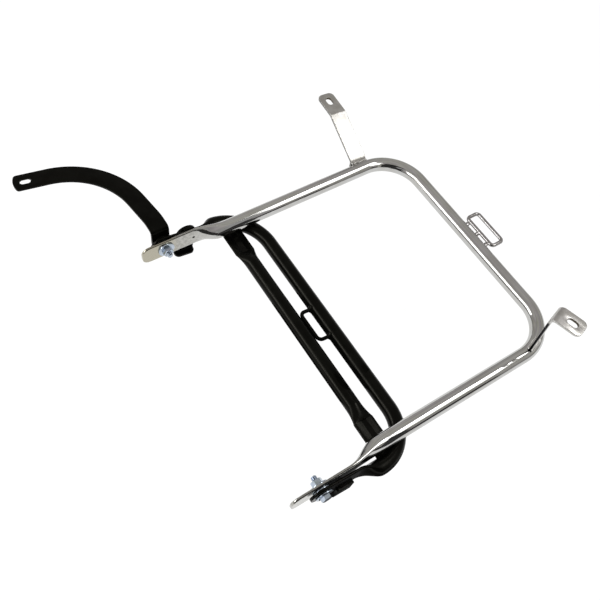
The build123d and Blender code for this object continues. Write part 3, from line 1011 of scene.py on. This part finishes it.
def arm_run():
    """Level run of the stay arm, from the fold over its foot to its slotted end."""
    lead = Vector((ARM_FOOT_X - ARM_LEAD, 0, 0))
    reach = lead + Vector((-math.cos(ARM_SLANT), -math.sin(ARM_SLANT), 0)) * ARM_REACH
    tail = reach + Vector((-math.cos(ARM_TURN), -math.sin(ARM_TURN), 0)) * ARM_TAIL
    return bent_run([(ARM_FOLD_X, 0, 0), lead, reach, tail], ARM_SWEEP_R, TUBE_STEP)


def fold_foot(point):
    """Point of the arm's flat blank after its foot is folded down."""
    past = point.x - ARM_FOLD_X
    if past <= ARM_FOLD_LEAD:
        return Vector((point.x, point.y, ARM_LEVEL + point.z))
    turn = min((past - ARM_FOLD_LEAD) / ARM_FOLD_R, math.pi / 2)
    centre = Vector((ARM_FOOT_X - ARM_FOLD_R, point.y, ARM_LEVEL - ARM_FOLD_R))
    out = ARM_FOLD_R + point.z
    drop = max(past - ARM_FOLD_LEAD - ARM_FOLD_BEND, 0.0)
    return centre + Vector((out * math.sin(turn), 0, out * math.cos(turn) - drop))


def arm_tip(end, heading):
    """Outline of the arm's bowed end, from its one edge to the other."""
    aside = heading.cross(UP)
    straight = ARM_HALF - ARM_END_R
    corner = [(straight + ARM_END_R * math.cos(turn), ARM_END_R * (1 - math.sin(turn)))
              for turn in spread(0, math.pi / 2, 8)]
    places = corner + [(width, 0) for width in spread(straight, -straight, 12)[1:-1]]
    places += [(-width, back) for width, back in reversed(corner)]
    tip = []
    for width, back in places:
        point = end + aside * width - heading * (back + ARM_END_BOW * (width / ARM_HALF) ** 2)
        tip.append((point.x, point.y))
    return tip


def make_arm(finish):
    """Black stay arm: swept flat bar with a folded foot and a slotted end."""
    run = arm_run()
    left, right = [], []
    for point, along in run:
        aside = along.cross(UP) * ARM_HALF
        left.append((point.x - aside.x, point.y - aside.y))
        right.append((point.x + aside.x, point.y + aside.y))
    end, heading = run[-1]
    fold_start = ARM_FOLD_X + ARM_FOLD_LEAD
    fold_end = fold_start + ARM_FOLD_BEND
    foot = arc_points((fold_end + ARM_LEVEL - ARM_FOLD_R, 0), ARM_HALF, -90, 90, 24)
    outline = foot + right[:-1] + arm_tip(end, heading) + left[-2::-1]
    slot_centre = end - heading * SLOT_INSET
    slot = slot_outline((slot_centre.x, slot_centre.y), math.atan2(heading.y, heading.x))
    mesh = cut_blank(outline, [slot], ARM_T)
    score(mesh, spread(fold_start, fold_end, ARM_FOLD_STEPS))
    for vert in mesh.verts:
        vert.co = place(*fold_foot(vert.co.copy()))
    add_piece(mesh, "stay_arm_bar", finish, "hoop", "black_coat", "stay_arm")


# Pivot hardware along X, each piece given from its inner face outwards on one side

BOLT_R = 3.0
THREAD_ROOT_R = 2.5
THREAD_PITCH = 1.0
THREAD_STATIONS = 10
THREAD_POINT_R = 2.1
THREAD_LEAD_R = 2.15
THREAD_SLOPE = 1.4
THREAD_ROOT_FLAT = 0.2
THREAD_RUN_OUT = 0.3
HEX_HALF = 5.0
HEX_FACE_R = 4.7
HEX_BREAK = 0.55
HEAD_H = 4.0
HEAD_EDGE = 0.15
# Radii of the dish in a bolt's head, each with its depth
HEAD_DISH = [(3.2, 0.25), (1.2, 0.3)]
NUT_H = 5.0
NUT_BORE_R = 2.7
NUT_SINK_R = 3.4
NUT_SINK = 0.7
WASHER_R = 9.0
WASHER_T = 1.6
WASHER_BORE_R = 3.2
# Section of a stamped washer: reach from its inner face and radius, rounder on one rim
WASHER_SECTION = [
    (0.15, WASHER_BORE_R), (0.0, WASHER_BORE_R + 0.15), (0.0, WASHER_R - 0.45),
    (0.12, WASHER_R - 0.15), (0.45, WASHER_R), (WASHER_T - 0.3, WASHER_R),
    (WASHER_T - 0.08, WASHER_R - 0.1), (WASHER_T, WASHER_R - 0.3),
    (WASHER_T, WASHER_BORE_R + 0.15), (WASHER_T - 0.15, WASHER_BORE_R),
]
TAIL_X = 134.4
NUT_X = 138.4
NUT_WASHER_X = 143.4
GAP_WASHER_X = 148.1
SPACER_X = 152.9
SPACER_COUNT = 2
HEAD_SEAT = {"front": 159.1, "rear": 152.9}
TURNS = turns(AROUND)


def hex_radius(turn):
    """Distance from the axis to a hexagon's side at an angle."""
    return HEX_HALF / math.cos(math.radians(30) - turn % math.radians(60))


def axis_ring(side, reaches, radii):
    """Ring round the pivot axis, its reach along X and its radius given for each angle."""
    ring = []
    for turn, reach, radius in zip(TURNS, reaches, radii):
        ring.append((side * reach, radius * math.cos(turn), radius * math.sin(turn)))
    return ring


def plain_rings(side, section):
    """Round rings on the pivot axis, each given by its reach and radius."""
    return [axis_ring(side, [reach] * AROUND, [radius] * AROUND) for reach, radius in section]


def hex_ring(side, reach, rise):
    """Hexagonal ring on the pivot axis, its corners set back by the chamfer where rise isn't 0."""
    radii = [hex_radius(turn) for turn in TURNS]
    reaches = [reach - rise * HEX_BREAK * (radius - HEX_FACE_R) for radius in radii]
    return axis_ring(side, reaches, radii)


def thread_rings(side, start, end):
    """Rings of a screw thread that starts in a chamfered point."""
    rings = plain_rings(side, [(start, THREAD_POINT_R)])
    steps = round((end - start) / (THREAD_PITCH / THREAD_STATIONS))
    for reach in spread(start, end, steps):
        radii = []
        for turn in TURNS:
            phase = (reach / THREAD_PITCH - turn / (2 * math.pi)) % 1.0
            height = THREAD_SLOPE * (1 - abs(2 * phase - 1)) - THREAD_ROOT_FLAT
            height = min(max(height, 0.0), 1.0)
            radius = THREAD_ROOT_R + (BOLT_R - THREAD_ROOT_R) * height
            radii.append(min(radius, THREAD_LEAD_R + (reach - start)))
        rings.append(axis_ring(side, [reach] * AROUND, radii))
    return rings


def make_bolt(name, finish):
    """Hexagon bolt with a rolled thread."""
    side = SIDES[name]
    face = HEAD_SEAT[name] + WASHER_T
    top = face + HEAD_H
    rings = thread_rings(side, TAIL_X, NUT_WASHER_X)
    shank = [(NUT_WASHER_X + THREAD_RUN_OUT, BOLT_R), (face, BOLT_R), (face, HEX_FACE_R)]
    rings += plain_rings(side, shank)
    rings += [hex_ring(side, face + HEAD_EDGE, 0), hex_ring(side, top, 1)]
    rings += plain_rings(side, [(top, HEX_FACE_R), (top, HEX_FACE_R - HEAD_EDGE)])
    rings += plain_rings(side, [(top - depth, radius) for radius, depth in HEAD_DISH])
    add_piece(skinned(rings), name + "_hex_bolt", finish, "hoop", "zinc", name + "_pivot_bolt")


def make_nut(name, finish):
    """Hexagon nut, chamfered on both faces, with a countersunk thread."""
    side = SIDES[name]
    end = NUT_X + NUT_H
    rings = plain_rings(side, [(NUT_X + NUT_SINK, NUT_BORE_R), (NUT_X, NUT_SINK_R),
                               (NUT_X, HEX_FACE_R)])
    rings += [hex_ring(side, NUT_X, -1), hex_ring(side, end, 1)]
    rings += plain_rings(side, [(end, HEX_FACE_R), (end, NUT_SINK_R), (end - NUT_SINK, NUT_BORE_R)])
    mesh = skinned(rings, closed=True)
    add_piece(mesh, name + "_hex_nut", finish, "hoop", "zinc", name + "_pivot_nut")


def washer_rings(side, inner):
    """Rings of a stamped washer from its inner face outwards."""
    return plain_rings(side, [(inner + reach, radius) for reach, radius in WASHER_SECTION])


def make_hardware(zinc, black):
    """Bolts, nuts and washers of both pivots, and the black spacers under the stay arm."""
    for name, side in SIDES.items():
        make_bolt(name, zinc)
        make_nut(name, zinc)
        seats = {"nut": NUT_WASHER_X, "gap": GAP_WASHER_X, "head": HEAD_SEAT[name]}
        for seat, inner in seats.items():
            mesh = skinned(washer_rings(side, inner), closed=True)
            add_piece(mesh, f"{name}_{seat}_plain_washer", zinc, "hoop", "zinc",
                      f"{name}_{seat}_washer")
    spacers = [washer_rings(SIDES["front"], SPACER_X + count * WASHER_T)
               for count in range(SPACER_COUNT)]
    mesh = skinned(*spacers, closed=True)
    add_piece(mesh, "stay_arm_spacers", black, "hoop", "black_coat", "arm_spacer_washers")


# Weld beads

BEAD_R = 2.25
BEAD_END = 0.96
BEAD_STATIONS = 56
BEAD_SIDES = 28
BEAD_LEAST = 0.02
BEAD_SWELL = 0.05
BEAD_BOW = 0.45
RIPPLE = 1.7
RIPPLE_DEPTH = 0.14


def bead_rings(start, end, settle=Vector):
    """Rings of a rippled weld bead between two points, rounded over at both ends."""
    run = end - start
    along = run.normalized()
    aside = along.orthogonal().normalized()
    across = along.cross(aside)
    rings = []
    past_end = BEAD_R * BEAD_END
    for reach in spread(-past_end, run.length + past_end, BEAD_STATIONS):
        past = max(-reach, reach - run.length, 0.0)
        crown = BEAD_R * math.sqrt(max(1 - (past / BEAD_R) ** 2, BEAD_LEAST))
        ripple = 1 - RIPPLE_DEPTH + RIPPLE_DEPTH * abs(math.cos(math.pi * reach / RIPPLE))
        ring = []
        for turn in turns(BEAD_SIDES):
            lump = crown * ripple * (1 + BEAD_SWELL * math.sin(2 * turn + 0.7 * reach))
            bow = BEAD_BOW * math.cos(2 * turn) * crown / BEAD_R
            out = aside * math.cos(turn) + across * math.sin(turn)
            ring.append(settle(start + along * (reach + bow) + out * lump))
        rings.append(ring)
    return rings


TAB_BEAD_HALF = TAB_W / 2 - BEAD_R
FRONT_BEAD_OUT = 7.25
FRONT_BEAD_RISE = 5.25


def make_tab_welds(finish):
    """Beads at the feet of the two mounting tabs."""
    across = FRONT_TAB_OUT.cross(UP) * TAB_BEAD_HALF
    foot = FRONT_TAB_FOOT + FRONT_TAB_OUT * FRONT_BEAD_OUT + UP * FRONT_BEAD_RISE
    mesh = skinned(bead_rings(foot - across, foot + across))
    add_piece(mesh, "front_tab_bead", finish, "hoop", "chrome", "front_tab_weld")
    across = REAR_TAB_OUT.cross(UP) * TAB_BEAD_HALF
    beads = []
    for side in (-1, 1):
        middle = REAR_TAB_FOOT + UP * TUBE_R + REAR_TAB_OUT * side * TAB_T / 2
        beads.append(bead_rings(middle - across, middle + across))
    add_piece(skinned(*beads), "rear_tab_beads", finish, "hoop", "chrome", "rear_tab_welds")


BRACE_BEAD_HALF = 6.46
STOP_BEAD_HALF = {"front": 2.75, "rear": 5.5}


def make_shelf_welds(finish):
    """Beads of the brace and of the stop ears."""
    for name, side in SIDES.items():
        ends = []
        for along in (BRACE_Y - BRACE_BEAD_HALF, BRACE_Y + BRACE_BEAD_HALF):
            into_bend = max(along - SHELF_REACH + BEND_R, 0)
            inner = SHELF_LEG_X - BEND_R + math.sqrt((BEND_R - TUBE_R) ** 2 - into_bend ** 2)
            ends.append(Vector((side * inner, along, 0)))
        mesh = skinned(bead_rings(*ends, swung))
        add_piece(mesh, name + "_brace_bead", finish, "shelf", "black_coat", name + "_brace_weld")
        level = min(STOP_LAP[name] - FLAT_W / 2, FLAT_W / 2)
        middle = STOP_START + STOP_LENGTH[name] / 2
        reach = STOP_BEAD_HALF[name]
        ends = [Vector((side * EYE_OUTER, middle + step * reach, level)) for step in (-1, 1)]
        mesh = skinned(bead_rings(*ends, swung))
        add_piece(mesh, name + "_stop_bead", finish, "shelf", "black_coat", name + "_stop_weld")


# Studio

def flat_sheet(name, half):
    """Square sheet on the floor's plane."""
    mesh = bpy.data.meshes.new(name)
    corners = [(-half, -half, 0), (half, -half, 0), (half, half, 0), (-half, half, 0)]
    mesh.from_pydata(corners, [], [(0, 1, 2, 3)])
    return link_object(name, mesh)


def only_reflected(thing):
    """Stage thing that only reflections see."""
    thing.visible_camera = False
    thing.visible_diffuse = False
    thing.visible_shadow = False


def bare_material(thing, name):
    """Node tree of a thing's new material, which has no shader yet."""
    material = bpy.data.materials.new(name)
    material.use_nodes = True
    material.node_tree.nodes.clear()
    thing.data.materials.append(material)
    return material.node_tree


def choose_shader(tree, share, first, second):
    """Mix of two shaders by a share."""
    node = tree.nodes.new("ShaderNodeMixShader")
    for socket, output in zip(node.inputs, (share, first.outputs[0], second.outputs[0])):
        tree.links.new(output, socket)
    return node


def show_shader(tree, shader):
    """Lead a shader to the material's surface."""
    output = tree.nodes.new("ShaderNodeOutputMaterial")
    tree.links.new(shader.outputs[0], output.inputs["Surface"])


def seen_rays(tree):
    """1 for rays from the camera, from gloss and through glass, else 0."""
    path = tree.nodes.new("ShaderNodeLightPath")
    seen = math_node(tree, "MAXIMUM", path.outputs["Is Camera Ray"], path.outputs["Is Glossy Ray"])
    return math_node(tree, "MAXIMUM", seen, path.outputs["Is Transmission Ray"])


FLOOR_HALF = 6.0
FLOOR_DROP = 0.088
FLOOR_PAPER = (0.8, 0.8, 0.8, 1)
FLOOR_SHADE = (0.2, 0.2, 0.2, 1)
FLOOR_GLOW = 0.87


def make_floor():
    """Pale floor just under the open shelf, which reads white and keeps a faint shadow."""
    floor = flat_sheet("floor", FLOOR_HALF)
    floor.location.z = -FLOOR_DROP
    tree = bare_material(floor, "pale_floor")
    paper = add_node(tree, "ShaderNodeBsdfDiffuse", Color=FLOOR_PAPER)
    soft = add_node(tree, "ShaderNodeBsdfDiffuse", Color=FLOOR_SHADE)
    glow = add_node(tree, "ShaderNodeEmission", Color=WHITE, Strength=FLOOR_GLOW)
    lit = tree.nodes.new("ShaderNodeAddShader")
    tree.links.new(soft.outputs[0], lit.inputs[0])
    tree.links.new(glow.outputs[0], lit.inputs[1])
    show_shader(tree, choose_shader(tree, seen_rays(tree), paper, lit))


WORLD_LEVELS = (0.5, 1.0)


def make_world():
    """White surroundings, dimmer as a light than as a background."""
    world = bpy.data.worlds.new("surroundings")
    bpy.context.scene.world = world
    world.use_nodes = True
    tree = world.node_tree
    back = tree.nodes["Background"]
    back.inputs["Color"].default_value = WHITE
    level = ramp_node(tree, seen_rays(tree), 0.0, 1.0, *WORLD_LEVELS)
    tree.links.new(level, back.inputs["Strength"])


ROOM_RADIUS = 4.0
ROOM_FOOT = -0.15 * ROOM_RADIUS
ROOM_SKIRTING = 0.22 * ROOM_RADIUS
ROOM_LEVELS = (0.26, 0.47)
ROOM_PATCHES = (0.82, 1.18)
ROOM_ROSE = (1.0, 0.945, 0.965, 1)
ROOM_OLIVE = (1.0, 0.985, 0.90, 1)


def make_room():
    """Grey studio walls and ceiling, which only reflections see."""
    mesh = bpy.data.meshes.new("studio_room")
    shell = bmesh.new()
    bmesh.ops.create_uvsphere(shell, u_segments=48, v_segments=24, radius=ROOM_RADIUS)
    below = [vert for vert in shell.verts if vert.co.z < ROOM_FOOT]
    bmesh.ops.delete(shell, geom=below, context="VERTS")
    shell.to_mesh(mesh)
    shell.free()
    room = link_object("studio_room", mesh)
    tree = bare_material(room, "grey_room")
    point = object_point(tree)
    height = split_vector(tree, point).outputs["Z"]
    level = ramp_node(tree, height, 0.0, ROOM_SKIRTING, *ROOM_LEVELS)
    patches = ramp_node(tree, noise_value(tree, point, 0.9, 1.0), 0.3, 0.7, *ROOM_PATCHES)
    level = math_node(tree, "MULTIPLY", level, patches)
    tint = ramp_node(tree, noise_value(tree, point, 1.3, 0.0), 0.35, 0.65)
    tone = mix_node(tree, tint, ROOM_ROSE, ROOM_OLIVE)
    show_shader(tree, add_node(tree, "ShaderNodeEmission", Color=tone, Strength=level))
    only_reflected(room)


# Cards and lamps: name, place and target in millimetres, width and height in metres, then level or watts

CARDS = [
    ("corner_dark_card", (850, -520, 640), (-140, 290, 8), 1.3, 1.64, 0.03),
    ("side_dark_card", (1100, 590, 230), (0, 120, 0), 0.42, 0.32, 0.03),
    ("nose_dark_card", (304, -80, 176), (-140, 50, 5), 0.66, 0.47, 0.04),
    ("flank_dark_card", (50, 123, 53), (-133, 60, 5), 0.09, 0.18, 0.05),
    # Painted shadow: the under and eye cards are dark sheets low under the object that stand for the shaded floor
    # in reflections
    ("under_shadow_card", (15, 80, -30.6), (15, 80, 70), 0.13, 0.09, 0.05),
    ("eye_shadow_card", (175, 55, -30.6), (175, 55, 70), 0.07, 0.11, 0.10),
    ("stripe_flag", (-30, 124, 132), (-140, 70, 5), 0.1, 0.1, 0.45),
]
LAMPS = [
    ("overhead_softbox", (350, 505, 613), (350, 505, 0), 0.42, 0.33, 0.95),
    ("standing_softbox", (-420, -820, 520), (0, 300, 0), 1.1, 0.75, 3.9),
    ("standing_core", (-412, -801, 511), (0, 300, 0), 1.0, 0.16, 4.0),
    ("far_softbox", (620, 1940, 3096), (-175, 252, 18), 0.95, 0.95, 14.5),
]
CLOTH_SPREAD = (0.7, 1.3)


def make_cards():
    """Matt cards beside the object, clear from behind, for the dark bands on the chrome; the two under the object
    are painted shadow of the floor.
    """
    for name, point, target, width, height, level in CARDS:
        card = flat_sheet(name, 0.5)
        card.scale = (width, height, 1)
        aim(card, point, target)
        tree = bare_material(card, name)
        low, high = CLOTH_SPREAD
        cloth = noise_value(tree, object_point(tree), 3.0)
        cloth = ramp_node(tree, cloth, 0.3, 0.7, low * level, high * level)
        glow = add_node(tree, "ShaderNodeEmission", Color=WHITE, Strength=cloth)
        clear = add_node(tree, "ShaderNodeBsdfTransparent", Color=WHITE)
        behind = tree.nodes.new("ShaderNodeNewGeometry").outputs["Backfacing"]
        show_shader(tree, choose_shader(tree, behind, clear, glow))
        only_reflected(card)


def make_lamps():
    """Soft studio lamps."""
    for name, point, target, width, height, power in LAMPS:
        data = bpy.data.lights.new(name, "AREA")
        data.shape = "RECTANGLE"
        data.size = width
        data.size_y = height
        data.energy = power
        aim(link_object(name, data), point, target)


bpy.context.scene.view_settings.view_transform = "Standard"
make_camera()
make_world()
make_floor()
make_room()
make_lamps()
make_cards()
FINISHES = make_finishes()
dress_nodes(FINISHES)
make_hoop(FINISHES["chrome"])
make_shelf(FINISHES["black_coat"])
make_brace(FINISHES["black_coat"])
make_strap_ring(FINISHES["shaded_wire_chrome"])
make_strap_loop(FINISHES["black_coat"])
make_tabs(FINISHES["satin_chrome"])
make_tab_welds(FINISHES["satin_chrome"])
make_shelf_welds(FINISHES["black_coat"])
make_hardware(FINISHES["zinc"], FINISHES["black_coat"])
make_stop_ears(FINISHES["black_coat"])
make_arm(FINISHES["black_coat"])
